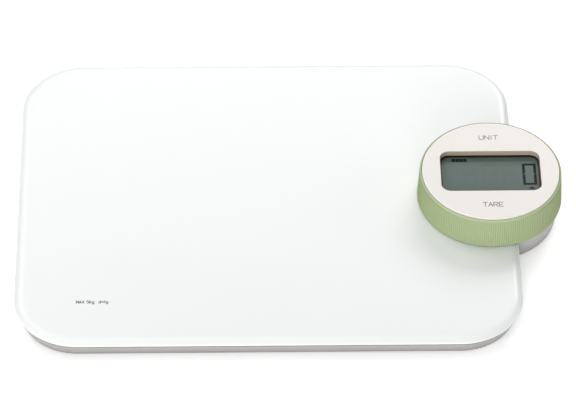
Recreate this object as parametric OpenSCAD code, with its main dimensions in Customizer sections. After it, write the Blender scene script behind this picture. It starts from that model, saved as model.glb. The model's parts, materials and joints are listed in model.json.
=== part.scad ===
// Slim digital scale with a round display head that turns on its own pod.
// Millimetres, +Z up, the table is z = 0, the origin is the centre of the
// whole footprint. +X is the head's side, -Y is the front.

/* [Platform] */
// Width of the weighing platform
platform_w = 240; // [230:1:255]
// Depth of the weighing platform, front to back
platform_d = 191.5; // [180:0.5:205]
// Corner radius of the platform in plan
corner_r = 30.5; // [26:0.5:38]
// Height of the platform's top above the table
platform_top = 12; // [12:0.1:12.3]
// Horizontal width of the rounded edge
edge_w = 4.5; // [4:0.1:6]
// Travel of the platform from no load to its overload stops
load_travel = 0.4; // [0.2:0.05:0.4]

/* [Display head] */
// Distance from the platform's centre to the head's axis
head_x = 107.4; // [104:0.2:112]
// Outer radius of the grip ring at its foot
ring_foot_r = 34.9; // [34.6:0.1:36]
// Outer radius of the grip ring at its rim
ring_rim_r = 34; // [33.8:0.1:34.3]
// Radius of the face disc
face_r = 33.05; // [32.8:0.05:33.1]
// Height of the face's top above the table
head_top = 29.35; // [29.2:0.05:29.8]
// Height by which the face stands above the grip ring's rim
face_proud = 0.7; // [0.5:0.1:0.9]
// Outer radius of the pod that carries the head
pod_r = 32.4; // [32:0.1:32.5]
// Width of the display window
window_w = 48; // [44:0.2:48.4]
// Depth of the display window, front to back
window_d = 27.2; // [24:0.2:27.6]
// Corner radius of the display window
window_r = 4.6; // [3:0.1:6]
// Turn of the head to each side
head_turn = 90; // [60:5:90]

/* [Load cell] */
// Length of the beam
cell_l = 47; // [46:0.5:48]
// Width of the beam
cell_w = 12; // [11:0.5:14]
// Radius of the two bores of the flexure
flexure_r = 1.8; // [1.5:0.1:1.9]

/* [Battery] */
// Diameter of the coin cell
battery_dia = 20; // [19.5:0.1:20]
// Thickness of the coin cell
battery_h = 3.2; // [3:0.1:3.2]
// Turn that frees the battery door
door_turn = 60; // [50:5:65]

/* [Hidden] */

overlap = 0.01;  // sinks one shape into the next
run_gap = 0.05;  // clearance between fitted pieces
rest_gap = 0.02; // gap between pieces that rest on each other

// Frames along X: platform centre from the origin, battery from the platform centre
platform_x = -(head_x + ring_foot_r - platform_w / 2) / 2;
battery_x = 52;

// Base levels
base_z = 0.8;
floor_z = 2.4;
root_z = floor_z - overlap; // foot of whatever stands on the floor
base_rim_z = 8.6;
rib_top = 3.6;

// Platform levels, and the arc of its rounded edge
lip_z = 9.5;
edge_z = 10;
edge_turn = 2 * atan((platform_top - edge_z) / edge_w);
edge_r = edge_w / sin(edge_turn);
edge_steps = 8;
skin = 2;
carrier_h = 1;
carrier_top = platform_top - skin;
carrier_z = carrier_top - carrier_h;

// Load cell stack
boss_z = 3.0;
spacer_h = 0.6;
spacer_x = 9.5;  // inner end of each spacer
cell_z = boss_z + spacer_h;
cell_h = 4.8;
cell_top = cell_z + cell_h;
cell_mid = cell_z + cell_h / 2;
flexure_x = 3.6; // bores and gauges, to each side of the beam's middle
gauge_h = 0.1;
sealant_h = 0.4;
screw_x = [12.7, 20.2];
screw_r = 1.5;
screw_hole_r = 1.6;

// Overload stops, heat stakes and feet, [x, y] from the platform's centre
stop_xy = [80, 61];
stop_slack = 0.05;
stake_xy = [[62, 47.3], [25, 16]];
foot_xy = [97, 71];
foot_r = 7;

// Battery and its door
battery_z = 2.75;
battery_r = battery_dia / 2;
battery_top = battery_z + battery_h;
chamber_top = 6.6;
door_r = 13.7;
lug_angles = [0, 120, 240];
lug_arc = 20;
gate_arc = 26;

// Wiring
cable_r = 1.2;
cable_y = -17;   // straight run under the platform
cable_z = 3.9;
cable_up_y = -1.5;
lead_r = 0.6;
lead_z = 5.55;
lead_up_x = 1.5; // upright leads, to each side of the head's axis
black_y = 4.5;
red_y = 9.4;
base_wire_top = 7.9;
head_wire_z = 8.1;

// Pod
pod_in_r = 28.8;
plate_r = 30.3;
plate_z = 9.4;
plate_top = 11.4;
plate_seat = plate_top - 1.1;
pod_screw_r = 25.8;
pod_screw_angles = [60, 180, 300];
shaft_r = 8;
shaft_bore_r = 5;
groove_r = 7.2;
groove_z = 7.95;
groove_top = 8.85;
slot_r = 20;

// Head
head_z = 12.6;
ring_z = platform_top + 0.4;
rim_z = head_top - face_proud;
cup_floor = 14.2;
cup_r = 33.2;
cup_in_r = 31.7;
cup_rim = 24.2;
board_z = 17.8;
board_top = 19;
board_screw_r = 25.5;
board_angles = [60, 120, 240, 300];
pivot_z = 22.4;
pivot_r = 1;
face_under = head_top - 1.6;
glass_top = head_top - 3.75;
glass_z = glass_top - 2;
glass_w = 51.2;
glass_d = 31;
frame_pin_xy = [22, 15.5];
switch_y = 24;
plunger_top = board_top + 4.3;

// Colours that several pieces share
housing_grey = [0.75, 0.76, 0.76];
screw_steel = [0.7, 0.7, 0.72];
spacer_steel = [0.62, 0.63, 0.65];
contact_metal = [0.8, 0.78, 0.7];
chip_black = [0.12, 0.12, 0.13];
pale_plastic = [0.9, 0.9, 0.88];
cable_white = [0.85, 0.85, 0.84];
lead_black = [0.12, 0.12, 0.12];
lead_red = [0.75, 0.12, 0.1];

// ---- Frames and patterns ----

module at_platform() translate([platform_x, 0, 0]) children();
module at_head() translate([platform_x + head_x, 0, 0]) children();
module at_battery() translate([platform_x + battery_x, 0, 0]) children();

// Children at the four points [+-x, +-y]
module corners(xy) for (sx = [-1, 1], sy = [-1, 1])
  translate([sx * xy[0], sy * xy[1]]) children();

// Children at radius r, turned to each angle about Z
module polar(angles, r = 0) for (a = angles)
  rotate([0, 0, a]) translate([r, 0, 0]) children();

// Load cell screws: side 1 holds the base, -1 the platform
module at_cell_screws(side) for (x = screw_x) translate([side * x, 0, 0]) children();
module at_pod_screws() polar(pod_screw_angles, pod_screw_r) children();
module at_board_screws() polar(board_angles, board_screw_r) children();
module at_stakes() for (xy = stake_xy) corners(xy) children();

// ---- Shared shapes ----

// Range of a given width about its middle
function span(middle, width) = [middle - width / 2, middle + width / 2];

// Box from its ranges along X, Y and Z
module block(x, y, z)
  translate([x[0], y[0], z[0]]) cube([x[1] - x[0], y[1] - y[0], z[1] - z[0]]);

module post(r, z0, z1, at = [0, 0])
  translate([at[0], at[1], z0]) cylinder(r = r, h = z1 - z0, $fn = 48);

// Tube, or a disc when r_in is 0
module tube(r_in, r_out, z0, z1) translate([0, 0, z0]) difference() {
  cylinder(r = r_out, h = z1 - z0, $fn = 128);
  if (r_in > 0) translate([0, 0, -1]) cylinder(r = r_in, h = z1 - z0 + 2, $fn = 96);
}

// Curved bar centred on +X, from its ranges of radius and height
module arc_bar(arc, r, z, facets = 96)
  rotate([0, 0, -arc / 2]) rotate_extrude(angle = arc, $fn = facets)
    translate([r[0], z[0]]) square([r[1] - r[0], z[1] - z[0]]);

// Rounded rectangle in plan
module rrect(w, d, r) union() {
  square([w - 2 * r, d], center = true);
  square([w, d - 2 * r], center = true);
  corners([w / 2 - r, d / 2 - r]) circle(r = r, $fn = 64);
}

// Solid whose outline follows the platform; stations are [inset, z], bottom to top
module plan_solid(stations) {
  z0 = stations[0][1];
  z1 = stations[len(stations) - 1][1];
  profile = concat([[0, z0]], [for (s = stations) [corner_r - s[0], s[1]]], [[0, z1]]);
  w = platform_w - 2 * corner_r;
  d = platform_d - 2 * corner_r;
  union() {
    translate([-w / 2, -d / 2, z0]) cube([w, d, z1 - z0]);
    for (turn = [0, 180]) rotate([0, 0, turn]) {
      translate([w / 2, 0, 0]) rotate([90, 0, 0])
        linear_extrude(d, center = true) polygon(profile);
      rotate([0, 0, 90]) translate([d / 2, 0, 0]) rotate([90, 0, 0])
        linear_extrude(w, center = true) polygon(profile);
      translate([w / 2, d / 2, 0]) rotate_extrude(angle = 90, $fn = 96) polygon(profile);
      translate([-w / 2, d / 2, 0]) rotate([0, 0, 90])
        rotate_extrude(angle = 90, $fn = 96) polygon(profile);
    }
  }
}

// Countersunk screw standing on its head, thread up
module csk_screw(z, length) translate([0, 0, z]) difference() {
  union() {
    cylinder(r1 = 2.9, r2 = screw_r, h = 1.4, $fn = 48);
    translate([0, 0, 1.3]) cylinder(r = screw_r, h = length - 1.3, $fn = 48);
  }
  for (a = [0, 90]) rotate([0, 0, a]) translate([-1.6, -0.35, -1]) cube([3.2, 0.7, 1.8]);
}

// Pan-head screw, thread down; its head rests at z = seat
module pan_screw(seat, head_r, head_h, r, length) translate([0, 0, seat]) difference() {
  union() {
    cylinder(r = head_r, h = head_h, $fn = 48);
    translate([0, 0, -length]) cylinder(r = r, h = length + 0.1, $fn = 48);
  }
  for (a = [0, 90]) rotate([0, 0, a])
    translate([-head_r * 0.6, -0.25, head_h * 0.4]) cube([head_r * 1.2, 0.5, 2]);
}

// Straight wires along X, Y and Z from a start point
module wire_x(start, length, r)
  translate(start) rotate([0, 90, 0]) cylinder(r = r, h = length, $fn = 32);
module wire_y(start, length, r)
  translate(start) rotate([-90, 0, 0]) cylinder(r = r, h = length, $fn = 32);
module wire_z(start, length, r) translate(start) cylinder(r = r, h = length, $fn = 32);

module quarter_bend(bend_r, r) rotate_extrude(angle = 90, $fn = 64)
  translate([bend_r, 0]) circle(r = r, $fn = 32);

// Level quarter bend that starts at the given angle about its centre
module bend_level(centre, bend_r, r, angle)
  translate(centre) rotate([0, 0, angle]) quarter_bend(bend_r, r);

// Quarter bend from level to upright; side 1 comes from +Y, -1 from -Y
module bend_up(centre, bend_r, r, side) translate(centre) rotate([0, 90, 0])
  rotate([0, 0, side > 0 ? -90 : 0]) quarter_bend(bend_r, r);

// ---- Base ----

// [inset, z] of the tub, whose sides lean outwards
tub_outside = [
  [4.7, base_z], [4, 1.05], [3.5, 1.5], [1.95, 5],
  [0.65, base_rim_z - 0.2], [0.75, base_rim_z]
];
tub_inside = [[5.8, floor_z], [5.1, 3.1], [3.85, 5], [2.6, base_rim_z - 0.2], [2.6, 12]];

module base_solid() union() {
  at_platform() difference() {
    plan_solid(tub_outside);
    plan_solid(tub_inside);
  }
  // pod
  at_head() rotate_extrude($fn = 128) polygon([
    [0, base_z], [pod_r - 0.5, base_z], [pod_r - 0.15, 1.1],
    [pod_r, 1.8], [pod_r, plate_top], [0, plate_top]]);
  at_platform() {
    // seat of the load cell
    block([8.5, 24.5], span(0, 14), [root_z, boss_z]);
    // overload stops
    corners(stop_xy) post(2.6, root_z, carrier_z - load_travel - stop_slack);
    // floor ribs
    for (y = [-34, 34]) block([-100, 62], span(y, 1.2), [root_z, rib_top]);
    for (x = [-62, -36]) block(span(x, 1.2), [-80, 80], [root_z, rib_top]);
  }
  // battery compartment
  at_battery() post(14.8, root_z, 7.4);
}

// Inside of the pod and the wire gates in its wall
module pod_cavity() {
  translate([0, 0, floor_z]) cylinder(r = pod_in_r, h = 20, $fn = 128);
  translate([0, 0, plate_z]) cylinder(r = plate_r + run_gap, h = 20, $fn = 128);
  block([-34, -20], span(cable_y, 3.6), [2.6, 5.4]);
  block([-34, -26], [3.2, 10.8], [4.6, 6.8]);
}

// Recess of the door, bayonet gates, chamber and slots of the contacts
module battery_cavity() {
  post(door_r + 0.2, 0, 1.6);
  post(11.6, 0, 3);
  rotate([0, 0, door_turn]) polar(lug_angles) arc_bar(gate_arc, [11, 13.2], [1, 3]);
  post(13.3, floor_z, 3.5);
  post(battery_r + 1.2, 3, chamber_top);
  block([-5.6, 20], [9.9, 10.6], [3.7, chamber_top]);
  block([4, 20], span(black_y, 3.4), [6, chamber_top]);
}

module base_housing() color(housing_grey) {
  difference() {
    base_solid();
    at_head() pod_cavity();
    at_platform() {
      // recesses of the feet
      corners(foot_xy) post(foot_r + 0.1, 0, 1.4);
      // countersinks and holes of the load cell's screws
      at_cell_screws(1) {
        translate([0, 0, base_z - overlap])
          cylinder(r1 = 3.1, r2 = screw_hole_r, h = 1.5, $fn = 48);
        post(screw_hole_r, 0, 5);
      }
    }
    at_battery() battery_cavity();
  }
  // seats of the pod plate's screws
  at_head() at_pod_screws() difference() {
    post(2.9, root_z, plate_z);
    post(0.95, 4, 20);
  }
}

module rubber_feet() color([0.2, 0.2, 0.21]) at_platform() corners(foot_xy)
  rotate_extrude($fn = 64)
    polygon([[0, 0], [foot_r - 0.7, 0], [foot_r, 0.5], [foot_r, 1.38], [0, 1.38]]);

module load_cell() color([0.8, 0.81, 0.83]) at_platform() difference() {
  block(span(0, cell_l), span(0, cell_w), [cell_z, cell_top]);
  for (side = [-1, 1]) translate([side * flexure_x, 0, cell_mid])
    rotate([90, 0, 0]) cylinder(r = flexure_r, h = 30, center = true, $fn = 64);
  // slot that joins the bores
  block([-flexure_x, flexure_x], [-10, 10], span(cell_mid, 1.6));
  for (side = [-1, 1]) at_cell_screws(side) post(screw_r + run_gap, 0, 12);
}

module strain_gauges() color([0.85, 0.62, 0.3]) at_platform()
  for (side = [-1, 1], z = [cell_top, cell_z - gauge_h])
    block(span(side * flexure_x, 4), span(0, 6), [z, z + gauge_h]);

module gauge_sealant() color(pale_plastic) at_platform()
  for (z = [cell_top + gauge_h, cell_z - gauge_h - sealant_h])
    translate([0, 0, z]) linear_extrude(sealant_h) rrect(14, 10, 2);

module spacer(x, z) difference() {
  block(x, span(0, cell_w), z);
  for (side = [-1, 1]) at_cell_screws(side) post(screw_hole_r, z[0] - 1, z[1] + 1);
}

module cell_base_spacer() color(spacer_steel) at_platform()
  spacer([spacer_x, cell_l / 2], [boss_z, cell_z]);

module cell_base_screws() color(screw_steel) at_platform()
  at_cell_screws(1) csk_screw(z = base_z + 0.1, length = 6.6);

// Cable from the load cell's front side to the head's axis
module sensor_cable() {
  cell_bend = 5;
  pod_bend = 13;
  up_bend = 2.5;
  cell_y = cable_y + cell_bend;
  pod_y = cable_y + pod_bend;
  up_z = cable_z + up_bend;
  run_x = cell_bend - 1;
  pod_x = head_x - pod_bend;
  color(cable_white) at_platform() union() {
    wire_y([-1, cell_y, cable_z], -cell_w / 2 - run_gap - cell_y, cable_r);
    bend_level([run_x, cell_y, cable_z], cell_bend, cable_r, 180);
    wire_x([run_x, cable_y, cable_z], pod_x - run_x, cable_r);
    bend_level([pod_x, pod_y, cable_z], pod_bend, cable_r, -90);
    bend_up([head_x, pod_y, up_z], up_bend, cable_r, -1);
    wire_z([head_x, cable_up_y, up_z], base_wire_top - up_z, cable_r);
  }
}

module battery() color([0.82, 0.83, 0.85]) at_battery() rotate_extrude($fn = 96)
  polygon([
    [0, battery_z], [battery_r - 0.3, battery_z], [battery_r, battery_z + 0.3],
    [battery_r, battery_top - 0.4], [battery_r - 0.4, battery_top - 0.2],
    [battery_r - 1.3, battery_top - 0.2], [battery_r - 1.3, battery_top], [0, battery_top]]);

module battery_contact_positive() color(contact_metal) at_battery()
  block([-5, 18], [battery_r + run_gap, battery_r + 0.35], [3.9, 6.4]);

module battery_contact_negative() color(contact_metal) at_battery() union() {
  block([-6, 18], span(black_y, 3), [6.2, 6.5]);
  post(1.2, battery_top + rest_gap, 6.3, at = [0, black_y]);
}

// Lead along X at y, turned in to rise at up_x from the head's axis
module battery_lead(up_x, y) at_platform() union() {
  up_bend = 1.8;
  level_bend = y - up_bend;
  start_x = battery_x + 14.6;
  bend_x = head_x + up_x - level_bend;
  up_z = lead_z + up_bend;
  wire_x([start_x, y, lead_z], bend_x - start_x, lead_r);
  bend_level([bend_x, up_bend, lead_z], level_bend, lead_r, 0);
  bend_up([head_x + up_x, up_bend, up_z], up_bend, lead_r, 1);
  wire_z([head_x + up_x, 0, up_z], base_wire_top - up_z, lead_r);
}

module battery_leads() {
  color(lead_black) battery_lead(-lead_up_x, black_y);
  color(lead_red) battery_lead(lead_up_x, red_y);
}

module pod_top_plate() color(housing_grey) at_head() difference() {
  tube(shaft_r + run_gap, plate_r, plate_z, plate_top);
  // slot of the stop peg
  arc_bar(2 * head_turn + 11, span(slot_r, 3.4), [5, 15], facets = 128);
  at_pod_screws() {
    post(1.4, 5, 20);
    post(2.7, plate_seat, 20);
  }
}

module pod_plate_screws() color(screw_steel) at_head() at_pod_screws()
  pan_screw(seat = plate_seat, head_r = 2.4, head_h = 1, r = 0.9, length = 5);

module thrust_washer() color([0.93, 0.93, 0.9]) at_head()
  tube(8.6, 16.5, plate_top + rest_gap, head_z - rest_gap);

module battery_door() color([0.72, 0.73, 0.73]) at_battery() difference() {
  union() {
    rotate_extrude($fn = 96) polygon([
      [0, base_z + 0.05], [door_r - 0.2, base_z + 0.05], [door_r, base_z + 0.25],
      [door_r, 1.55], [11.4, 1.55], [11.4, 3.2], [10.3, 3.2], [10.3, 2.5], [0, 2.5]]);
    polar(lug_angles) arc_bar(lug_arc, [10.8, 12.9], [2.5, 3.1]);
  }
  // coin slot
  block(span(0, 14), span(0, 1.8), [0, base_z + 0.75]);
}

// ---- Platform ----

// [inset, z] of the shell's outside: small lip, then the arc of the rounded edge
shell_outside = concat(
  [[0.4, lip_z], [0.1, lip_z + 0.15], [0, lip_z + 0.35]],
  [for (i = [0:edge_steps]) let (a = edge_turn * (1 - i / edge_steps))
    [edge_w - edge_r * sin(a), platform_top - edge_r * (1 - cos(a))]]
);

module platform_shell() color([0.96, 0.97, 0.97]) at_platform() {
  difference() {
    union() {
      difference() {
        plan_solid(shell_outside);
        plan_solid([[1.9, lip_z - 1], [1.9, carrier_top]]);
      }
      // skirt inside the wall of the base
      difference() {
        plan_solid([[3.7, 7.6], [3.7, carrier_top + 0.5]]);
        plan_solid([[5.1, 7], [5.1, carrier_top]]);
      }
    }
    // clearance round the pod
    translate([head_x, 0, 0]) cylinder(r = pod_r + 1.2, h = 30, $fn = 128);
    // pockets of the load cell's screws
    at_cell_screws(-1) post(3.2, carrier_top - 1, carrier_top + 1.1);
  }
  // heat stakes through the carrier plate, with their heads
  at_stakes() {
    post(2, carrier_z - 0.4, carrier_top + 0.2);
    post(3.3, carrier_z - 0.75, carrier_z - 0.05);
  }
}

module carrier_plate() color([0.66, 0.67, 0.69]) at_platform() difference() {
  // centre plate with diagonal arms out to pads over the stops
  translate([0, 0, carrier_z]) linear_extrude(carrier_h) union() {
    square([72, 48], center = true);
    for (side = [-1, 1]) rotate(side * atan2(stop_xy[1], stop_xy[0]))
      square([2 * norm(stop_xy), 16], center = true);
    corners(stop_xy) circle(r = 11, $fn = 64);
  }
  block(span(0, 17), span(0, 14), [0, 20]);
  at_cell_screws(-1) post(screw_hole_r, 0, 20);
  at_stakes() post(2.1, 0, 20);
}

module cell_platform_spacer() color(spacer_steel) at_platform()
  spacer([-cell_l / 2, -spacer_x], [cell_top, carrier_z]);

module cell_platform_screws() color(screw_steel) at_platform() at_cell_screws(-1)
  pan_screw(seat = carrier_top, head_r = 2.8, head_h = 0.9, r = screw_r, length = 5);

// ---- Head ----

// [radius, z] of the hollow shaft with its clip groove, and the cup above it
cup_profile = [
  [shaft_bore_r, 7.2], [shaft_r - 0.4, 7.2], [shaft_r, 7.6], [shaft_r, groove_z],
  [groove_r, groove_z], [groove_r, groove_top], [shaft_r, groove_top], [shaft_r, head_z],
  [cup_r, head_z], [cup_r, cup_rim], [cup_in_r, cup_rim], [cup_in_r, cup_floor],
  [shaft_bore_r, cup_floor]
];

module head_cup() color([0.85, 0.86, 0.85]) at_head() union() {
  difference() {
    union() {
      rotate_extrude($fn = 128) polygon(cup_profile);
      // posts of the face's pivot pins
      for (side = [-1, 1])
        block(span(side * 30.8, 2.4), [-3, 3], [cup_floor - overlap, cup_rim]);
      at_board_screws() post(2.6, cup_floor - overlap, board_z);
    }
    translate([0, 0, pivot_z]) rotate([0, 90, 0])
      cylinder(r = pivot_r + run_gap, h = 62.9, center = true, $fn = 48);
    at_board_screws() post(0.8, cup_floor + 0.4, 20);
  }
  // stop peg
  post(1.5, 10, head_z + 0.1, at = [slot_r, 0]);
}

module grip_ring() color([0.64, 0.71, 0.53]) at_head() rotate_extrude($fn = 180) polygon([
  [cup_r + run_gap, ring_z], [ring_foot_r - 0.25, ring_z], [ring_foot_r, ring_z + 0.3],
  [ring_rim_r + 0.12, rim_z - 0.8], [ring_rim_r, rim_z - 0.3], [ring_rim_r - 0.3, rim_z],
  [cup_r + run_gap, rim_z]]);

module retaining_clip() color([0.55, 0.56, 0.58]) at_head() difference() {
  tube(groove_r + run_gap, 10.6, groove_z + run_gap, groove_top - run_gap);
  block([-20, -5], [-3.5, 3.5], [7, 10]);
}

module wave_washer() color([0.72, 0.72, 0.74]) at_head()
  tube(8.2, 11.4, groove_top, plate_z - rest_gap);

module main_board() color([0.1, 0.4, 0.22]) at_head() difference() {
  tube(0, 29.3, board_z, board_top);
  at_board_screws() post(1, 0, 20);
  corners(frame_pin_xy) post(0.9, 0, 20);
}

module board_screws() color(screw_steel) at_head() at_board_screws()
  pan_screw(seat = board_top, head_r = 1.9, head_h = 1, r = 0.75, length = 3);

// The chips and the crystal hang under the board
chip_top = board_z - 0.1;
leg_z = [board_z - 0.3, board_z];
leg_w = 0.4;

module microcontroller() color(chip_black) at_head() translate([-12, 6, 0]) union() {
  block(span(0, 8), span(0, 8), [board_z - 1.4, chip_top]);
  for (i = [-2:2]) {
    block(span(0, 10), span(i, leg_w), leg_z);
    block(span(i, leg_w), span(0, 10), leg_z);
  }
}

module converter_chip() color(chip_black) at_head() translate([13, -10, 0]) union() {
  leg_pitch = 1.27;
  block(span(0, 10), span(0, 4), [board_z - 1.5, chip_top]);
  for (i = [-3:3]) block(span(i * leg_pitch, leg_w), span(0, 6), leg_z);
}

module crystal() color([0.8, 0.8, 0.82]) at_head() translate([-8, -10, 0]) union() {
  translate([0, 0, board_z - 1.05]) rotate([0, 90, 0]) cylinder(r = 1, h = 6, $fn = 48);
  for (y = [-0.5, 0.5]) block([-2.4, 0.5], span(y, 0.3), [board_z - 0.5, board_z]);
}

module lcd_frame() color([0.9, 0.88, 0.84]) at_head() difference() {
  union() {
    translate([0, 0, board_top])
      linear_extrude(glass_top + 0.1 - board_top) rrect(53, 33, 2);
    corners(frame_pin_xy) post(0.8, board_z - 0.6, board_top + 0.1);
  }
  block(span(0, 49.4), span(0, 28.8), [board_top - 1, glass_z + 1]);
  block(span(0, glass_w + 0.3), span(0, glass_d + 0.3), [glass_z, 30]);
}

module lcd_glass() color([0.42, 0.48, 0.45]) at_head()
  block(span(0, glass_w), span(0, glass_d), [glass_z + rest_gap, glass_top]);

// Dark film stuck round the edge of the display's glass
module lcd_mask() color([0.08, 0.08, 0.08]) at_head() translate([0, 0, glass_top])
  linear_extrude(0.15) difference() {
    square([glass_w, glass_d], center = true);
    rrect(window_w - 1.6, window_d - 1.7, window_r - 0.8);
  }

module zebra_strips() color([0.25, 0.24, 0.24]) at_head() for (y = [-13.2, 13.2])
  block([-24, 24], span(y, 2), [board_top + rest_gap, glass_z]);

module switch_housings() color([0.15, 0.15, 0.16]) at_head()
  for (y = [-switch_y, switch_y]) difference() {
    block(span(0, 6), span(y, 6), [board_top, board_top + 3.2]);
    post(1.75, board_top + 1, 30, at = [0, y]);
  }

module head_wire(x, y, r) at_head()
  wire_z([x, y, head_wire_z], board_z - rest_gap - head_wire_z, r);

module head_lead() {
  color(cable_white) head_wire(0, cable_up_y, cable_r);
  color(lead_black) head_wire(-lead_up_x, 0, lead_r);
  color(lead_red) head_wire(lead_up_x, 0, lead_r);
}

// ---- Face and plungers ----

// [radius, z] of the face with its downturned rim
face_profile = [
  [0, face_under], [face_r - 1.6, face_under], [face_r - 1.6, face_under - 2],
  [face_r - 0.1, face_under - 2], [face_r, face_under + 0.9], [face_r - 0.15, head_top - 0.25],
  [face_r - 0.5, head_top], [0, head_top]
];
window_wall = 1.2;
window_wall_z = glass_top + 0.5;
face_root = face_under + 0.1; // top of whatever hangs under the face

module face_disc() color([0.95, 0.93, 0.91]) at_head() difference() {
  union() {
    rotate_extrude($fn = 180) polygon(face_profile);
    // walls of the window
    translate([0, 0, window_wall_z]) linear_extrude(face_root - window_wall_z)
      rrect(window_w + 2 * window_wall, window_d + 2 * window_wall, window_r + window_wall);
    // posts over the plungers
    for (y = [-switch_y, switch_y]) post(1.5, plunger_top + run_gap, face_root, at = [0, y]);
    // ears and pivot pins
    for (side = [-1, 1]) {
      block(span(side * 28.2, 1.8), span(0, 4.8), [pivot_z - 1.6, face_root]);
      translate([side * 30.1, 0, pivot_z]) rotate([0, 90, 0])
        cylinder(r = pivot_r, h = 2.4, center = true, $fn = 48);
    }
  }
  translate([0, 0, 20]) linear_extrude(20) rrect(window_w, window_d, window_r);
}

module plunger(y) at_head() translate([0, y, 0]) rotate_extrude($fn = 48) polygon([
  [0, board_top + 1.7], [1.7, board_top + 1.7], [1.7, plunger_top - 0.3],
  [1.4, plunger_top], [0, plunger_top]]);

module unit_plunger() color(pale_plastic) plunger(switch_y);
module tare_plunger() color(pale_plastic) plunger(-switch_y);

base_housing();
rubber_feet();
load_cell();
strain_gauges();
gauge_sealant();
cell_base_spacer();
cell_base_screws();
sensor_cable();
battery();
battery_contact_positive();
battery_contact_negative();
battery_leads();
pod_top_plate();
pod_plate_screws();
thrust_washer();
battery_door();
platform_shell();
carrier_plate();
cell_platform_spacer();
cell_platform_screws();
head_cup();
grip_ring();
retaining_clip();
wave_washer();
main_board();
board_screws();
microcontroller();
converter_chip();
crystal();
lcd_frame();
lcd_glass();
lcd_mask();
zebra_strips();
switch_housings();
head_lead();
face_disc();
unit_plunger();
tare_plunger();
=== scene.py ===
"""Kitchen scale: a flat weighing platform with a round head let into it.

The scale lies flat on z = 0 and is centred on y = 0; the camera looks from the front (-Y).
The head is a ribbed grip ring around a face with an LCD window. Shapes are worked out in
millimetres and stored in metres.
"""
import json
import math

import bmesh
import bpy
import numpy as np
from mathutils import Matrix, Vector


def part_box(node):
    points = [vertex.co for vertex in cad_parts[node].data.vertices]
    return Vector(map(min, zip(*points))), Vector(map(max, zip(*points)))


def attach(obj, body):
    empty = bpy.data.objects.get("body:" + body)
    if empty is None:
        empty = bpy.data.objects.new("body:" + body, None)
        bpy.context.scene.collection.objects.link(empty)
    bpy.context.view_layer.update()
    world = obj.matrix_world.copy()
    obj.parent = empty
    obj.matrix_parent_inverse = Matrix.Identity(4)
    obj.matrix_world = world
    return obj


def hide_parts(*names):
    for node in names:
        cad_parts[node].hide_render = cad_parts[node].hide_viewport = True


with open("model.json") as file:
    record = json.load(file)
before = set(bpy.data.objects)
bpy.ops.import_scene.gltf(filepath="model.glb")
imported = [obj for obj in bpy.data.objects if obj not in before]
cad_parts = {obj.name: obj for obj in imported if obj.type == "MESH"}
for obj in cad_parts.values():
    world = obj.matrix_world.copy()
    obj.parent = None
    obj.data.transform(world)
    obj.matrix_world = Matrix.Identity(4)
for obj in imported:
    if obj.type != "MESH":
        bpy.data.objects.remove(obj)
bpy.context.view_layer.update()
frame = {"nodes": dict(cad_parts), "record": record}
scene = bpy.context.scene
MM = 0.001
TAU = math.tau


# ------------------------------------------------------------------ sizes in mm
def box_mm(name):
    return [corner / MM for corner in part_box(name)]


plate_low, plate_high = box_mm("platform_shell")
ring_low, ring_high = box_mm("grip_ring")
face_low, face_high = box_mm("face_disc")

PLATE_X = (plate_low.x + plate_high.x) / 2
PLATE_W = plate_high.x - plate_low.x
PLATE_D = plate_high.y - plate_low.y
PLATE_TOP = plate_high.z
SKIRT_FOOT = plate_low.z
CORNER_R = 30.5
# the domed edge is an arc that drops from the top to EDGE_Z over the width EDGE_W
EDGE_W, EDGE_Z = 4.5, 10.0
EDGE_R = EDGE_W / math.sin(2 * math.atan((PLATE_TOP - EDGE_Z) / EDGE_W))

HEAD_X = (ring_low.x + ring_high.x) / 2
HEAD_GAP_R = 33.6   # hole in the platform around the head
CUP_R = 33.2        # wall of the pod inside the grip ring
RING_FOOT_R = (ring_high.y - ring_low.y) / 2
RING_FOOT, RING_TOP = ring_low.z, ring_high.z + 0.3
FACE_R = (face_high.y - face_low.y) / 2
FACE_TOP = face_high.z - 0.01
FACE_UNDER = FACE_TOP - 1.6
WINDOW_W, WINDOW_D, WINDOW_R = 48.0, 27.2, 4.6
GLASS_TOP = box_mm("lcd_glass")[1].z
PRINT_SINK = 0.004  # prints and display segments start this far under their surface
PRINT_RISE = 0.012


# ------------------------------------------------------------------ mesh helpers
def new_object(name, verts, faces):
    mesh = bpy.data.meshes.new(name)
    mesh.from_pydata([tuple(float(c) * MM for c in v) for v in verts], [], faces)
    mesh.validate()
    part = bpy.data.objects.new(name, mesh)
    scene.collection.objects.link(part)
    return part


def fix_normals(part, weld=False):
    bm = bmesh.new()
    bm.from_mesh(part.data)
    if weld:
        bmesh.ops.remove_doubles(bm, verts=bm.verts, dist=1e-7)
    bmesh.ops.recalc_face_normals(bm, faces=bm.faces)
    bm.to_mesh(part.data)
    bm.free()


def smooth(part, angle):
    """Smooth faces with sharp edges where the surface turns by more than angle degrees."""
    bm = bmesh.new()
    bm.from_mesh(part.data)
    limit = math.radians(angle)
    for face in bm.faces:
        face.smooth = True
    for edge in bm.edges:
        edge.smooth = len(edge.link_faces) != 2 or edge.calc_face_angle() < limit
    bm.to_mesh(part.data)
    bm.free()


def loft(name, rows, closed=False):
    """Quads between loops of equal length; closed joins last to first, otherwise ends are capped."""
    count = len(rows[0])
    verts = [point for row in rows for point in row]
    faces = []
    for k in range(len(rows) - (0 if closed else 1)):
        low, high = k * count, ((k + 1) % len(rows)) * count
        for i in range(count):
            j = (i + 1) % count
            faces.append((low + i, low + j, high + j, high + i))
    if not closed:
        faces.append(tuple(range(count)))
        faces.append(tuple(reversed(range(len(verts) - count, len(verts)))))
    part = new_object(name, verts, faces)
    fix_normals(part, weld=True)
    return part


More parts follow.
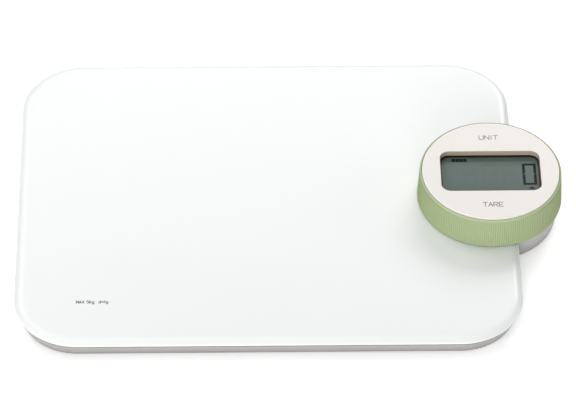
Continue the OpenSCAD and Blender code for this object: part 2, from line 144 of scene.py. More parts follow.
def lathe(name, x, y, profile, count=32):
    """Capped solid of revolution about the upright axis at (x, y); profile is (radius, z)."""
    angles = [TAU * i / count for i in range(count)]
    return loft(name, [[(x + r * math.cos(turn), y + r * math.sin(turn), z) for turn in angles]
                       for r, z in profile])


def prism(verts, faces, outline, z_low, z_high):
    """Adds an upright prism on an (x, y) outline to the lists."""
    base, count = len(verts), len(outline)
    for z in (z_low, z_high):
        verts += [(x, y, z) for x, y in outline]
    faces.append(tuple(base + i for i in reversed(range(count))))
    faces.append(tuple(base + count + i for i in range(count)))
    for i in range(count):
        j = (i + 1) % count
        faces.append((base + i, base + j, base + count + j, base + count + i))


def rim_arc(outer, top, radius, first):
    """(radius, z) points of a rounded outer rim, every 10 degrees from first up to the top."""
    turns = [math.radians(degrees) for degrees in range(first, 91, 10)]
    return [(outer - radius + radius * math.cos(turn), top - radius + radius * math.sin(turn))
            for turn in turns]


def discard(part):
    mesh = part.data
    bpy.data.objects.remove(part)
    bpy.data.meshes.remove(mesh)


def join(target, others):
    bm = bmesh.new()
    bm.from_mesh(target.data)
    for other in others:
        bm.from_mesh(other.data)
    bm.to_mesh(target.data)
    bm.free()
    for other in others:
        discard(other)


def boolean(target, tool, operation):
    modifier = target.modifiers.new("cut", "BOOLEAN")
    modifier.operation = operation
    modifier.solver = "EXACT"
    modifier.object = tool
    depsgraph = bpy.context.evaluated_depsgraph_get()
    result = bpy.data.meshes.new_from_object(target.evaluated_get(depsgraph))
    old = target.data
    target.modifiers.clear()
    target.data = result
    bpy.data.meshes.remove(old)
    discard(tool)


def set_attribute(part, name, values):
    attribute = part.data.attributes.new(name, "FLOAT", "POINT")
    attribute.data.foreach_set("value", values)


# ------------------------------------------------------------------ node helpers
class Nodes:
    """Adds shader nodes to a tree; an input value is a number, a tuple or another output."""

    def __init__(self, tree):
        self.tree = tree

    def feed(self, socket, value):
        if isinstance(value, bpy.types.NodeSocket):
            self.tree.links.new(value, socket)
        elif socket.type == "RGBA":
            socket.default_value = (*value, 1)
        else:
            socket.default_value = value

    def add(self, kind, inputs=None, **settings):
        node = self.tree.nodes.new("ShaderNode" + kind)
        for key, value in settings.items():
            setattr(node, key, value)
        for key, value in (inputs or {}).items():
            self.feed(node.inputs[key], value)
        return node

    def calc(self, operation, first, second):
        return self.add("Math", {0: first, 1: second}, operation=operation).outputs[0]

    def ramp(self, value, low, high, start=0.0, end=1.0, **settings):
        """Maps low..high to start..end."""
        return self.add("MapRange", {"Value": value, "From Min": low, "From Max": high,
                                     "To Min": start, "To Max": end}, **settings).outputs[0]


MATERIALS = {}


class Mat(Nodes):
    """A material that uses the piece's own coordinates, in metres."""

    def __init__(self, name, color, rough, metallic=0.0, specular=0.5, coat=0.0, coat_rough=0.05):
        self.material = bpy.data.materials.new(name)
        self.material.use_nodes = True
        super().__init__(self.material.node_tree)
        self.tree.nodes.clear()
        self.shader = self.add("BsdfPrincipled", {
            "Base Color": color, "Roughness": rough, "Metallic": metallic,
            "Specular IOR Level": specular, "Coat Weight": coat, "Coat Roughness": coat_rough})
        self.add("OutputMaterial", {0: self.shader.outputs[0]})
        self.base, self.rough = color, rough
        self.coords = self.add("TexCoord").outputs["Object"]
        MATERIALS[name] = self

    def set_base(self, source):
        self.base = source
        self.feed(self.shader.inputs["Base Color"], source)

    def noise(self, scale, detail, rough=0.5, vector=None):
        return self.add("TexNoise", {"Scale": scale, "Detail": detail, "Roughness": rough,
                                     "Vector": vector or self.coords}).outputs["Fac"]

    def mix(self, factor, first, second, **settings):
        # 0, 6 and 7 are the factor and the two colours; output 2 is the colour
        node = self.add("Mix", data_type="RGBA", **settings)
        for k, value in ((0, factor), (6, first), (7, second)):
            self.feed(node.inputs[k], value)
        return node.outputs[2]

    def vary(self, scale, amount):
        """Soft variation of the plain base colour by a share of itself."""
        dark = tuple(c * (1 - amount) for c in self.base)
        light = tuple(c * (1 + amount) for c in self.base)
        self.set_base(self.mix(self.ramp(self.noise(scale, 4), 0.1, 0.9), dark, light))

    def roughen(self, scale, amount):
        rough = self.ramp(self.noise(scale, 4), 0.08, 0.92, self.rough - amount, self.rough + amount)
        self.feed(self.shader.inputs["Roughness"], rough)

    def overlay(self, factor, color):
        """A second colour over the first where factor is 1."""
        self.set_base(self.mix(factor, self.base, color))

    def bump(self, layers, strength, distance):
        """Relief from the sum of (height, weight) layers."""
        heights = [self.calc("MULTIPLY", height, weight) for height, weight in layers]
        total = heights[0]
        for height in heights[1:]:
            total = self.calc("ADD", total, height)
        node = self.add("Bump", {"Strength": strength, "Distance": distance, "Height": total})
        self.feed(self.shader.inputs["Normal"], node.outputs[0])

    def paint_crevice_shade(self, distance, amount, tint):
        """Painted shade: darkens the colour where other surfaces stand closer than distance."""
        occlusion = self.add("AmbientOcclusion", {"Distance": distance}, samples=8)
        shade = tuple((1 - amount) * c for c in tint)
        dark = self.mix(1.0, self.base, shade, blend_type="MULTIPLY")
        self.set_base(self.mix(occlusion.outputs["AO"], dark, self.base))

    def attribute(self, name):
        return self.add("Attribute", attribute_name=name).outputs["Fac"]

    def coord(self, axis):
        return self.add("SeparateXYZ", {0: self.coords}).outputs[axis]

    def soft_edges(self, radius):
        """Rounds the look of sharp edges, under the bump."""
        bevel = self.add("Bevel", {"Radius": radius}, samples=4)
        bump = self.shader.inputs["Normal"].links[0].from_node
        self.feed(bump.inputs["Normal"], bevel.outputs[0])


# ------------------------------------------------------------------ materials
def gloss_plastic(name, color, rough, coat):
    mat = Mat(name, color, rough, coat=coat)
    mat.vary(scale=9, amount=0.008)
    mat.roughen(scale=70, amount=0.035)
    mat.bump([(mat.noise(130, 1), 0.25)], strength=0.25, distance=0.00003)


def moulded(name, color, rough, grain, depth, patchy=0.03, specular=0.45):
    """Matt plastic, rubber or ink with a fine grain; patchy is the share of colour variation."""
    mat = Mat(name, color, rough, specular=specular)
    mat.vary(scale=40, amount=patchy)
    mat.roughen(scale=160, amount=0.06)
    layers = [(mat.noise(grain, 3, 0.6), depth), (mat.noise(300, 1), 0.15)]
    mat.bump(layers, strength=0.5, distance=0.00004)


def metal(name, color, rough, streak=(1, 1, 1), depth=0.5):
    """Bare metal; a small streak component draws the relief out along that axis."""
    mat = Mat(name, color, rough, metallic=1.0)
    mat.vary(scale=60, amount=0.06)
    mat.roughen(scale=220, amount=0.09)
    stretched = mat.add("Mapping", {"Scale": tuple(s * 1500 for s in streak),
                                    "Vector": mat.coords}).outputs[0]
    mat.bump([(mat.noise(1.0, 3, 0.6, stretched), depth)], strength=0.4, distance=0.00003)


def lcd_surface(name, color, rough):
    mat = Mat(name, color, rough, specular=0.2, coat=0.1, coat_rough=0.08)
    mat.vary(scale=60, amount=0.03)
    mat.roughen(scale=120, amount=0.04)


def dark_segment(name):
    mat = Mat(name, (0.007, 0.010, 0.010), rough=0.5, specular=0.12)
    mat.vary(scale=500, amount=0.2)
    mat.roughen(scale=900, amount=0.08)


ALONG_X, ALONG_Y = (0.05, 1, 1), (1, 0.05, 1)
gloss_plastic("platform_white", (0.80, 0.815, 0.81), rough=0.30, coat=0.08)
moulded("housing_grey", (0.366, 0.353, 0.347), rough=0.36, grain=1800, depth=0.35)
moulded("grip_green", (0.352, 0.416, 0.240), rough=0.6, grain=3200, depth=0.6, patchy=0.05,
        specular=0.15)
moulded("face_white", (0.752, 0.72, 0.68), rough=0.33, grain=2400, depth=0.25, patchy=0.012)
moulded("feet_rubber", (0.035, 0.035, 0.037), rough=0.75, grain=1500, depth=1.0, patchy=0.1)
metal("cell_aluminium", (0.78, 0.79, 0.81), rough=0.34, streak=ALONG_X)
metal("gauge_foil", (0.72, 0.46, 0.22), rough=0.3, streak=ALONG_Y)
moulded("sealant", (0.8, 0.8, 0.77), rough=0.5, grain=500, depth=1.2, patchy=0.04)
metal("plate_steel", (0.6, 0.61, 0.62), rough=0.4, depth=0.8)
metal("screw_steel", (0.7, 0.7, 0.7), rough=0.25)
moulded("wire_jacket", (0.62, 0.62, 0.61), rough=0.5, grain=1500, depth=0.4, patchy=0.04)
metal("cell_can", (0.78, 0.79, 0.8), rough=0.2, streak=(1, 0.06, 1))
metal("contact_spring", (0.76, 0.7, 0.55), rough=0.3, streak=ALONG_X)
moulded("bearing_plastic", (0.82, 0.82, 0.78), rough=0.4, grain=900, depth=0.4)
moulded("inner_grey", (0.55, 0.56, 0.56), rough=0.5, grain=1300, depth=0.9)
metal("spring_steel", (0.35, 0.36, 0.38), rough=0.35)
moulded("board_green", (0.015, 0.13, 0.05), rough=0.3, grain=700, depth=0.6, patchy=0.25)
moulded("chip_black", (0.02, 0.02, 0.022), rough=0.45, grain=2500, depth=0.7, patchy=0.1)
moulded("zebra_rubber", (0.05, 0.05, 0.05), rough=0.6, grain=900, depth=0.5, patchy=0.2)
moulded("plunger_white", (0.82, 0.82, 0.79), rough=0.35, grain=900, depth=0.3)
moulded("mask_black", (0.012, 0.012, 0.012), rough=0.5, grain=1200, depth=0.4, patchy=0.1)
lcd_surface("lcd_panel", (0.084, 0.119, 0.105), rough=0.3)
moulded("ink_brown", (0.16, 0.13, 0.115), rough=0.5, grain=3000, depth=0.5, patchy=0.1)
dark_segment("segment_dark")
lcd_surface("segment_ghost", (0.081, 0.115, 0.101), rough=0.32)
moulded("ink_grey", (0.03, 0.03, 0.03), rough=0.5, grain=3000, depth=0.5, patchy=0.1)


def tune_housing():
    """Painted light on one grey: the pod's wall is painted a little paler than the leaning side of
    the tub, and painted shade darkens the gaps and the foot.
    """
    mat = MATERIALS["housing_grey"]
    across = mat.calc("SUBTRACT", mat.coord("X"), HEAD_X * MM)
    squares = mat.calc("ADD", mat.calc("MULTIPLY", across, across),
                       mat.calc("MULTIPLY", mat.coord("Y"), mat.coord("Y")))
    radius = mat.calc("SQRT", squares, 0)
    # painted light: the pod's wall inside CUP_R gets a paler grey than the tub's side
    pod_painted_light = mat.ramp(radius, CUP_R * MM, (CUP_R + 0.2) * MM, start=1, end=0)
    # the lowest 1.2 to 1.8 mm of the pod keep the darker grey, a painted shade at its foot
    above_floor = mat.ramp(mat.coord("Z"), 0.0012, 0.0018)
    mat.overlay(mat.calc("MULTIPLY", pod_painted_light, above_floor), (0.472, 0.458, 0.444))
    # painted shade under the platform's lip and where the housing meets the floor
    mat.paint_crevice_shade(distance=0.006, amount=0.62, tint=(1.0, 0.97, 0.95))
    mat.soft_edges(radius=0.00025)


def tune_grip():
    """Painted shade: deeper green in the rib grooves and at grazing view angles; painted highlight:
    paler on the top rim.
    """
    mat = MATERIALS["grip_green"]
    # painted shade in the rib grooves
    mat.paint_crevice_shade(distance=0.0007, amount=0.2, tint=(1, 0.98, 0.9))
    # painted shade: deeper green on the sides seen at grazing angles
    facing = mat.add("LayerWeight", {"Blend": 0.5}).outputs["Facing"]
    grazing = mat.calc("MULTIPLY", mat.ramp(facing, 0.33, 0.6), 0.68)
    mat.overlay(grazing, (0.235, 0.295, 0.115))
    # painted highlight on the top rim
    mat.overlay(mat.calc("MULTIPLY", mat.attribute("edge"), 0.5), (0.46, 0.52, 0.36))


def tune_face():
    """Painted highlight on the rounded rims and painted shade on the window's wall."""
    mat = MATERIALS["face_white"]
    # painted highlight on the rounded rims
    mat.overlay(mat.calc("MULTIPLY", mat.attribute("edge"), 0.3), (0.93, 0.92, 0.89))
    # painted shade: a tan tone on the window's wall
    mat.overlay(mat.attribute("wall"), (0.42, 0.345, 0.275))


tune_housing()
tune_grip()
tune_face()
for key in ("feet_rubber", "inner_grey", "plate_steel", "screw_steel", "cell_aluminium"):
    MATERIALS[key].soft_edges(radius=0.0002)


def dress(part, key):
    material = MATERIALS[key].material
    if not part.data.materials:
        part.data.materials.append(material)
    for slot in part.material_slots:
        slot.material = material


def finish(part, material, body):
    dress(part, material)
    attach(part, body)


slot_of = {sub["node"]: sub["material_slot"] for sub in frame["record"]["subparts"]}
for name, part in frame["nodes"].items():
    dress(part, slot_of[name] if slot_of[name] in MATERIALS else "inner_grey")


# ------------------------------------------------------------------ platform cover
def plate_loop(inset, z):
    """The platform's rounded outline shrunk by inset, with as many points at every inset."""
    half_x, half_y = PLATE_W / 2 - CORNER_R, PLATE_D / 2 - CORNER_R
    radius = CORNER_R - inset
    corners = ((1, 1), (-1, 1), (-1, -1), (1, -1))
    arc_steps = 24
    points = []
    for k, (side_x, side_y) in enumerate(corners):
        for i in range(arc_steps + 1):
            turn = math.radians(90 * k + 90 * i / arc_steps)
            points.append((PLATE_X + side_x * half_x + radius * math.cos(turn),
                           side_y * half_y + radius * math.sin(turn), z))
        # straight run to the next corner: along x after even corners, along y after odd ones
        next_x, next_y = corners[(k + 1) % 4]
        start_x, start_y = points[-1][:2]
        end_x = PLATE_X + next_x * half_x + radius * math.cos(turn)
        end_y = next_y * half_y + radius * math.sin(turn)
        steps = 18 if k % 2 else 24
        for i in range(1, steps):
            share = i / steps
            points.append((start_x + (end_x - start_x) * share,
                           start_y + (end_y - start_y) * share, z))
    return points


def heat_stake(x, y, ceiling):
    z = ceiling - 1.0
    return lathe("stake", x, y, [
        (0.01, z - 0.72), (1.8, z - 0.7), (2.8, z - 0.55), (3.25, z - 0.3), (3.25, z - 0.06),
        (1.98, z - 0.06), (1.98, ceiling + 0.2), (0.01, ceiling + 0.2)])


def build_platform():
    ceiling = PLATE_TOP - 2.0
    foot = SKIRT_FOOT
    lip = 9.5
    innermost = CORNER_R - 1
    # (inset, z): the underside with its inner skirt, then the outer lip
    profile = [
        (innermost, ceiling), (5.5, ceiling), (5.2, ceiling - 0.08), (5.1, ceiling - 0.3),
        (5.06, foot + 0.15), (4.9, foot), (3.9, foot), (3.74, foot + 0.15),
        (3.7, ceiling - 0.3), (3.6, ceiling - 0.08), (3.4, ceiling), (2.2, ceiling),
        (2.0, ceiling - 0.06), (1.9, ceiling - 0.2), (1.88, lip + 0.12), (1.75, lip + 0.01),
        (1.5, lip), (0.55, lip)]
    lip_r = 0.25
    for degrees in (0, 22, 45, 68, 90):
        turn = math.radians(degrees)
        profile.append((0.3 - lip_r * math.sin(turn), lip + lip_r - lip_r * math.cos(turn)))
    profile += [(0.0, EDGE_Z - 0.15), (0.01, EDGE_Z - 0.07), (0.035, EDGE_Z),
                (0.08, EDGE_Z + 0.065), (0.15, EDGE_Z + 0.14)]
    # domed edge up to the flat top
    steps = 26
    first_turn = math.asin((EDGE_W - 0.25) / EDGE_R)
    for i in range(steps + 1):
        turn = first_turn * (1 - i / steps)
        profile.append((EDGE_W - EDGE_R * math.sin(turn),
                        PLATE_TOP - EDGE_R * (1 - math.cos(turn))))
    profile += [(8, PLATE_TOP), (innermost, PLATE_TOP)]
    cover = loft("platform_cover", [plate_loop(inset, z) for inset, z in profile])
    cutter = lathe("cutter", HEAD_X, 0, [(HEAD_GAP_R, -5), (HEAD_GAP_R, 40)], count=160)
    boolean(cover, cutter, "DIFFERENCE")
    join(cover, [heat_stake(PLATE_X + side_x * x, side_y * y, ceiling)
                 for side_x in (-1, 1) for side_y in (-1, 1)
                 for x, y in ((62, 47.3), (25, 16))])
    smooth(cover, 30)
    finish(cover, "platform_white", "platform")
    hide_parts("platform_shell")


# ------------------------------------------------------------------ grip ring
def build_ring():
    ribs, points_per_rib = 204, 10
    rib_depth = 0.21
    inner = CUP_R + 0.06
    rim = 34.0
    foot, top, foot_r = RING_FOOT, RING_TOP, RING_FOOT_R

    def flank(z):
        """Radius of the straight flank from the foot to just under the rim."""
        share = (z - (foot + 0.3)) / ((top - 0.8) - (foot + 0.3))
        return foot_r + (rim + 0.12 - foot_r) * min(1, max(0, share))

    # (radius, z, share of the full rib depth)
    profile = [(inner, foot + 0.15, 0), (inner + 0.15, foot, 0), (foot_r - 0.45, foot, 0),
               (foot_r - 0.2, foot + 0.05, 0.1), (foot_r - 0.06, foot + 0.16, 0.3),
               (foot_r, foot + 0.34, 0.8)]
    profile += [(flank(z), float(z), 1.0) for z in np.linspace(foot + 0.7, top - 2.15, 12)]
    for drop, share in ((1.9, 0.75), (1.75, 0.3), (1.6, 0.0), (0.9, 0)):
        profile.append((flank(top - drop), top - drop, share))
    profile += [(r, z, 0) for r, z in rim_arc(rim + 0.1, top, radius=0.72, first=10)]
    profile += [(inner + 0.04, top - 0.03, 0), (inner, top - 0.12, 0), (inner, top - 6, 0),
                (inner, foot + 6, 0)]
    count = ribs * points_per_rib
    rows = []
    for radius, z, share in profile:
        row = []
        for i in range(count):
            turn = TAU * i / count
            phase = (i % points_per_rib) / points_per_rib
            groove = (0.5 + 0.5 * math.cos(TAU * phase)) ** 2.0
            r = radius - rib_depth * share * groove
            row.append((HEAD_X + r * math.cos(turn), r * math.sin(turn), z))
        rows.append(row)
    sleeve = loft("grip_sleeve", rows, closed=True)
    # "edge" rises from 0 to 1 over 0.3 mm on the top rim, where the highlight is painted
    set_attribute(sleeve, "edge", [min(1.0, max(0.0, (v.co[2] / MM - (top - 0.75)) / 0.3))
                                   for v in sleeve.data.vertices])
    smooth(sleeve, 50)
    finish(sleeve, "grip_green", "head")
    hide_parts("grip_ring")


# ------------------------------------------------------------------ face
FACE_POINTS = 480
FACE_ANGLES = [TAU * (i + 0.5) / FACE_POINTS for i in range(FACE_POINTS)]
RIM_R = 0.5          # rounding of the face's outer rim
WINDOW_RIM_R = 0.4   # rounding of the window's top rim


def face_circle(r, z):
    return [(HEAD_X + r * math.cos(turn), r * math.sin(turn), z) for turn in FACE_ANGLES]


def window_loop(grow, z):
    """Rounded window outline enlarged by grow, one point per ray from the centre."""
    half_w, half_d, radius = WINDOW_W / 2 + grow, WINDOW_D / 2 + grow, WINDOW_R + grow
    corner_x, corner_y = half_w - radius, half_d - radius
    points = []
    for turn in FACE_ANGLES:
        # work in one quarter: first meet the straight sides, then the corner arc
        ray_x, ray_y = abs(math.cos(turn)), abs(math.sin(turn))
        reach = min(half_w / ray_x, half_d / ray_y)
        if reach * ray_x > corner_x and reach * ray_y > corner_y:
            along = ray_x * corner_x + ray_y * corner_y
            excess = corner_x * corner_x + corner_y * corner_y - radius * radius
            reach = along + math.sqrt(along * along - excess)
        points.append((HEAD_X + math.copysign(reach * ray_x, math.cos(turn)),
                       math.copysign(reach * ray_y, math.sin(turn)), z))
    return points


def mark_painted_light(cap):
    """Stores how far each point takes the painted highlight of a rounded rim (edge) or the painted
    shade of the window's wall (wall).
    """
    fade = 0.15
    rim_start = FACE_R - 0.6
    edges, walls = [], []
    for vertex in cap.data.vertices:
        x, y, z = vertex.co[0] / MM - HEAD_X, vertex.co[1] / MM, vertex.co[2] / MM
        r = math.hypot(x, y)
        edge = wall = 0.0
        # the face's outer rim takes the painted highlight
        if z > FACE_TOP - 1.7 and r > rim_start:
            edge = min(1.0, (r - rim_start) / fade)
        # distance outside the window's outline
        over_x = abs(x) - (WINDOW_W / 2 - WINDOW_R)
        over_y = abs(y) - (WINDOW_D / 2 - WINDOW_R)
        outside = (math.hypot(max(over_x, 0), max(over_y, 0))
                   + min(max(over_x, over_y), 0) - WINDOW_R)
        # the window's top rim takes the painted highlight and its wall the painted shade
        if r < 31 and z > GLASS_TOP and outside < 1.3:
            if z > FACE_TOP - 0.32 and outside < 0.42:
                edge = min(1.0, (0.42 - outside) / fade)
            elif outside < 0.2 and z < FACE_TOP - 0.3:
                wall = 1.0
        edges.append(edge)
        walls.append(wall)
    set_attribute(cap, "edge", edges)
    set_attribute(cap, "wall", walls)


def face_post(side):
    """Round post under the face; side is -1 for the front one, 1 for the back one."""
    tip = 23.35
    return lathe("post", HEAD_X, side * 24.0, [
        (0.01, tip), (1.1, tip + 0.02), (1.45, tip + 0.2), (1.5, tip + 0.45),
        (1.5, FACE_UNDER + 0.1), (0.01, FACE_UNDER + 0.1)])


def face_pivot(side):
    """Ear with a pivot pin under the face; side is -1 towards -X, 1 towards +X."""
    pivot_z = 22.4
    half_w, depth, half_thick = 2.4, 1.8, 0.9
    outline = [(half_w, FACE_UNDER + 0.1), (half_w, pivot_z)]
    for degrees in range(15, 166, 15):
        turn = math.radians(-degrees)
        outline.append((half_w * math.cos(turn), pivot_z + depth * math.sin(turn)))
    outline += [(-half_w, pivot_z), (-half_w, FACE_UNDER + 0.1)]
    middle = HEAD_X + side * 28.2
    ear = loft("ear", [[(x, y, z) for y, z in outline]
                       for x in (middle - half_thick, middle + half_thick)])
    # (distance from the head's centre, radius), ending in a chamfer
    stations = ((28.9, 1.0), (31.1, 1.0), (31.3, 0.8))
    turns = [TAU * i / 32 for i in range(32)]
    pin = loft("pin", [[(HEAD_X + side * x, r * math.cos(turn), pivot_z + r * math.sin(turn))
                        for turn in turns] for x, r in stations])
    return [ear, pin]


def build_face():
    skirt = FACE_UNDER - 2.0
    rows = [face_circle(FACE_R - inset, z) for inset, z in (
        (1.6, skirt + 0.1), (1.5, skirt), (0.25, skirt), (0.1, skirt + 0.12),
        (0.03, FACE_UNDER), (0, FACE_UNDER + 0.6))]
    rows += [face_circle(r, z) for r, z in rim_arc(FACE_R, FACE_TOP, RIM_R, first=0)]
    # top, blending from the round edge to the window outline
    outer = face_circle(FACE_R - RIM_R, FACE_TOP)
    inner = window_loop(WINDOW_RIM_R, FACE_TOP)
    for share in (0.04, 0.3, 0.6, 0.9, 0.98):
        rows.append([tuple(start[k] + (end[k] - start[k]) * share for k in range(3))
                     for start, end in zip(outer, inner)])
    for degrees in range(0, 91, 15):
        turn = math.radians(degrees)
        rows.append(window_loop(WINDOW_RIM_R - WINDOW_RIM_R * math.sin(turn),
                                FACE_TOP - WINDOW_RIM_R + WINDOW_RIM_R * math.cos(turn)))
    # (grow, z): down the window's wall, then outwards over the glass and up to the underside
    wall_foot = GLASS_TOP + 0.5
    rows += [window_loop(grow, z) for grow, z in (
        (0, FACE_TOP - 0.46), (0, FACE_TOP - 0.6), (0, FACE_TOP - 1.5), (0, wall_foot + 0.15),
        (0.12, wall_foot), (1.1, wall_foot), (1.2, wall_foot + 0.1), (1.2, FACE_UNDER))]
    rows.append(face_circle(FACE_R - 1.6, FACE_UNDER))
    cap = loft("face_cap", rows, closed=True)
    join(cap, [face_post(-1), face_post(1), *face_pivot(-1), *face_pivot(1)])
    smooth(cap, 32)
    mark_painted_light(cap)
    finish(cap, "face_white", "face")
    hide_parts("face_disc")


# ------------------------------------------------------------------ printed legends
# strokes of each character as (x, y) in a cell one unit wide and high
GLYPHS = {
    "U": [[(0, 1), (0, 0.25), (0.2, 0), (0.8, 0), (1, 0.25), (1, 1)]],
    "N": [[(0, 0), (0, 1), (1, 0), (1, 1)]],
    "I": [[(0.5, 0), (0.5, 1)]],
    "T": [[(0, 1), (1, 1)], [(0.5, 1), (0.5, 0)]],
    "A": [[(0, 0), (0.5, 1), (1, 0)], [(0.2, 0.35), (0.8, 0.35)]],
    "R": [[(0, 0), (0, 1), (0.72, 1), (1, 0.85), (1, 0.65), (0.72, 0.48), (0, 0.48)],
          [(0.5, 0.48), (1, 0)]],
    "E": [[(1, 1), (0, 1), (0, 0), (1, 0)], [(0, 0.5), (0.85, 0.5)]],
    "M": [[(0, 0), (0, 1), (0.5, 0.35), (1, 1), (1, 0)]],
    "X": [[(0, 0), (1, 1)], [(0, 1), (1, 0)]],
    "5": [[(1, 1), (0.1, 1), (0, 0.55), (0.7, 0.6), (1, 0.35), (0.85, 0.05), (0.4, 0),
           (0, 0.12)]],
    "1": [[(0.2, 0.75), (0.55, 1), (0.55, 0)]],
    "=": [[(0, 0.65), (1, 0.65)], [(0, 0.3), (1, 0.3)]],
    "k": [[(0, 0), (0, 1)], [(0.85, 0.65), (0, 0.25)], [(0.3, 0.38), (0.95, 0)]],
    "g": [[(0.9, 0.65), (0.2, 0.65), (0, 0.45), (0, 0.15), (0.2, 0), (0.9, 0)],
          [(0.9, 0.65), (0.9, -0.2), (0.7, -0.35), (0.1, -0.33)]],
    "d": [[(0.9, 0), (0.2, 0), (0, 0.2), (0, 0.45), (0.2, 0.65), (0.9, 0.65)],
          [(0.9, 1), (0.9, 0)]],
}
# cell width of characters narrower than the rest
NARROW = {"I": 0.35, "1": 0.55, " ": 0.6, "k": 0.85, "g": 0.85, "d": 0.85}


def stroke(name, start, end, weight, z):
    """One straight stroke with round ends."""
    heading = math.atan2(end.y - start.y, end.x - start.x)
    outline = [(point.x + weight / 2 * math.cos(heading + turn),
                point.y + weight / 2 * math.sin(heading + turn))
               for point, first in ((end, -math.pi / 2), (start, math.pi / 2))
               for turn in np.linspace(first, first + math.pi, 9)]
    verts, faces = [], []
    prism(verts, faces, outline, z, z + PRINT_RISE)
    part = new_object(name, verts, faces)
    fix_normals(part)
    return part


def label(name, text, x, y, surface, height, weight, gap, width, material, slot, body):
    """Text centred on (x, y); width is a full cell's width as a share of the height."""
    z = surface - PRINT_SINK
    widths = [width * height * NARROW.get(char, 1.0) for char in text]
    left = x - (sum(widths) + gap * (len(text) - 1)) / 2
    whole = None
    for char, cell in zip(text, widths):
        letter = None
        for line in GLYPHS.get(char, []):
            ends = [Vector((left + u * cell, y + (v - 0.5) * height)) for u, v in line]
            for start, end in zip(ends, ends[1:]):
                part = stroke(name + "_stroke", start, end, weight, z)
                if letter is None:
                    letter = part
                else:
                    boolean(letter, part, "UNION")
        if whole is None:
            whole = letter
        elif letter is not None:
            join(whole, [letter])
        left += cell + gap
    whole.name = name
    whole.data.name = name
    finish(whole, material, body)


def build_labels():
    on_face = dict(surface=FACE_TOP, height=2.75, material="ink_brown", slot="face_white",
                   body="face")
    label("label_unit", "UNIT", HEAD_X, 22.8, weight=0.36, gap=0.66, width=0.76, **on_face)
    label("label_tare", "TARE", HEAD_X, -23.1, weight=0.40, gap=0.58, width=0.70, **on_face)
    label("label_capacity", "MAX 5kg  d=1g", PLATE_X - 83.05, -68.9, surface=PLATE_TOP,
          height=1.6, weight=0.33, gap=0.34, width=0.63, material="ink_grey",
          slot="platform_white", body="platform")


# ------------------------------------------------------------------ display
DIGIT_W, DIGIT_H, DIGIT_PITCH = 6.7, 14.6, 9.6
SEGMENT_W = 1.32
SEGMENT_GAP = 0.04
LAST_DIGIT_X, DIGIT_Y = HEAD_X + 15.55, -6.3   # lower left corner of the last digit


def seven_segment(verts, faces, left, shown, z_low, z_high):
    """The shown segments a-g of one digit, with mitred corners."""
    bar, gap = SEGMENT_W, SEGMENT_GAP / 2
    half = bar / 2
    low, right, high = DIGIT_Y, left + DIGIT_W, DIGIT_Y + DIGIT_H
    mid = low + DIGIT_H / 2
    segments = {
        "a": [(left + gap, high), (right - gap, high),
              (right - bar - gap, high - bar), (left + bar + gap, high - bar)],
        "d": [(left + bar + gap, low + bar), (right - bar - gap, low + bar),
              (right - gap, low), (left + gap, low)],
        "g": [(left + half + gap, mid), (left + bar + gap, mid + half),
              (right - bar - gap, mid + half), (right - half - gap, mid),
              (right - bar - gap, mid - half), (left + bar + gap, mid - half)],
        "f": [(left, high - gap), (left + bar, high - bar - gap),
              (left + bar, mid + half + gap), (left + half, mid + gap), (left, mid + gap)],
        "e": [(left, mid - gap), (left + half, mid - gap), (left + bar, mid - half - gap),
              (left + bar, low + bar + gap), (left, low + gap)],
        "b": [(right, mid + gap), (right - half, mid + gap), (right - bar, mid + half + gap),
              (right - bar, high - bar - gap), (right, high - gap)],
        "c": [(right, low + gap), (right - bar, low + bar + gap),
              (right - bar, mid - half - gap), (right - half, mid - gap), (right, mid - gap)],
    }
    for key in shown:
        prism(verts, faces, segments[key], z_low, z_high)


def display_piece(name, material, verts, faces):
    part = new_object(name, verts, faces)
    fix_normals(part)
    finish(part, material, "head")


def build_display():
    z_low, z_high = GLASS_TOP - PRINT_SINK, GLASS_TOP + PRINT_RISE
    # the segments that are off show as a lower trace
    ghost_high = z_high - 0.008
    verts, faces = [], []
    seven_segment(verts, faces, LAST_DIGIT_X, "g", z_low, ghost_high)
    for i in range(1, 4):
        seven_segment(verts, faces, LAST_DIGIT_X - i * DIGIT_PITCH, "abcdefg", z_low, ghost_high)
    display_piece("display_segments_off", "segment_ghost", verts, faces)
    # a zero in the last place
    verts, faces = [], []
    seven_segment(verts, faces, LAST_DIGIT_X, "abcdef", z_low, z_high)
    # four small bars, back left
    for i in range(4):
        x = HEAD_X - 18.2 + i * 1.86
        bar = [(x, 9.75), (x + 1.66, 9.75), (x + 1.66, 11.95), (x, 11.95)]
        prism(verts, faces, bar, z_low, z_high)
    # unit pointer, front right
    x, y = HEAD_X + 19.6, -9.0
    pointer = [(x - 1.55, y), (x + 1.55, y), (x + 1.3, y + 0.55), (x + 0.45, y + 1.3),
               (x - 0.45, y + 1.3), (x - 1.3, y + 0.55)]
    prism(verts, faces, pointer, z_low, z_high)
    display_piece("display_digits", "segment_dark", verts, faces)


build_platform()
build_ring()
build_face()
build_labels()
build_display()


# ------------------------------------------------------------------ stage
def build_floor():
    """A 12 m square that glows faintly, and more so where the camera sees it directly."""
    glow, camera_glow = 0.085, 0.3
    half = 6000
    corners = [(-half, -half, 0), (half, -half, 0), (half, half, 0), (-half, half, 0)]
    floor = new_object("floor", corners, [(0, 1, 2, 3)])
    mat = Mat("floor", (0.97, 0.97, 0.97), rough=0.9, specular=0.05)
    mat.vary(scale=3, amount=0.004)
    seen = mat.add("LightPath").outputs["Is Camera Ray"]
    mat.feed(mat.shader.inputs["Emission Color"], (1, 1, 1))
    mat.feed(mat.shader.inputs["Emission Strength"],
             mat.calc("ADD", mat.calc("MULTIPLY", seen, camera_glow), glow))
    floor.data.materials.append(mat.material)


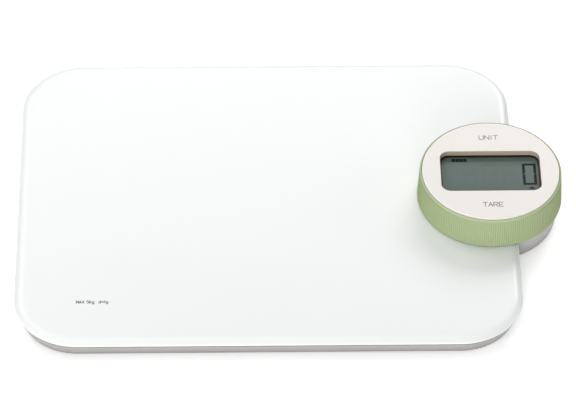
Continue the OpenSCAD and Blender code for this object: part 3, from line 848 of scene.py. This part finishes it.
def build_world():
    """Even white light, with optional glows low in the sky all round, at the back and right."""
    even, low_glow, back_glow, right_glow = 0.22, 0.0, 0.0, 0.0
    world = bpy.data.worlds.new("studio")
    scene.world = world
    world.use_nodes = True
    sky = Nodes(world.node_tree)
    background = sky.tree.nodes["Background"]
    direction = sky.add("SeparateXYZ", {0: sky.add("TexCoord").outputs["Generated"]}).outputs

    def band(axis, low, high, start, end):
        return sky.ramp(direction[axis], low, high, start, end, interpolation_type="SMOOTHSTEP")

    low = band("Z", 0.25, 0.6, 1.0, 0.0)
    back = band("Y", -0.1, 0.5, 0.0, 1.0)
    right = band("X", 0.2, 0.8, 0.0, 1.0)
    total = sky.calc("ADD", sky.calc("MULTIPLY", low, low_glow), even)
    for side, strength in ((back, back_glow), (right, right_glow)):
        glow = sky.calc("MULTIPLY", sky.calc("MULTIPLY", low, side), strength)
        total = sky.calc("ADD", total, glow)
    sky.feed(background.inputs[0], (1, 1, 1))
    sky.feed(background.inputs[1], total)


# name, place and target in metres, side in metres, power in watts
AREA_LIGHTS = (
    ("back_low", (0.1, 1.2, 0.8), (0, 0, 0), 0.7, 3.81),
    ("back_low_right", (0.55, 1.0, 0.75), (0, 0, 0), 0.5, 4.81),
    ("over", (-0.2, 0.2, 1.3), (0, 0, 0), 0.9, 4.65),
    ("back_left_near", (-0.45, 0.5, 0.6), (-0.02, 0.02, 0), 0.5, 2.08),
    ("front_left", (-1.0, -1.3, 0.6), (0, 0, 0), 0.9, 11.76),
    ("front", (0.0, -1.7, 0.45), (0, 0, 0), 0.8, 15.08),
    ("right_low", (1.1, 0.15, 0.35), (0.09, 0, 0), 0.4, 1.4),
)


def build_lights():
    for name, place, target, size, power in AREA_LIGHTS:
        data = bpy.data.lights.new(name, "AREA")
        data.energy = power
        data.size = size
        light = bpy.data.objects.new(name, data)
        scene.collection.objects.link(light)
        light.location = place
        light.rotation_mode = "QUATERNION"
        light.rotation_quaternion = (Vector(target) - Vector(place)).to_track_quat("-Z", "Y")


def build_camera():
    """A long lens from the front, aimed at target from above; angles are in degrees."""
    azimuth, elevation, roll = (math.radians(angle) for angle in (-1.27, 44.89, 0.49))
    distance, target = 1.86095, (-0.00063, 0.00447, 0.0)
    back = Vector((math.sin(azimuth) * math.cos(elevation),
                   -math.cos(azimuth) * math.cos(elevation), math.sin(elevation)))
    right = Vector((math.cos(azimuth), math.sin(azimuth), 0))
    up = back.cross(right)
    rolled_right = math.cos(roll) * right + math.sin(roll) * up
    rolled_up = -math.sin(roll) * right + math.cos(roll) * up
    pose = Matrix((rolled_right, rolled_up, back)).transposed().to_4x4()
    pose.translation = Vector(target) + back * distance
    data = bpy.data.cameras.new("camera")
    camera = bpy.data.objects.new("camera", data)
    scene.collection.objects.link(camera)
    camera.matrix_world = pose
    data.sensor_width = 36
    data.sensor_fit = "HORIZONTAL"
    data.lens = 239.25
    data.shift_x = -0.00086806
    data.shift_y = 0.00086806
    data.clip_end = 100
    scene.camera = camera


build_floor()
build_world()
build_lights()
build_camera()
scene.view_settings.view_transform = "Standard"
scene.view_settings.look = "None"
scene.view_settings.exposure = 0.0
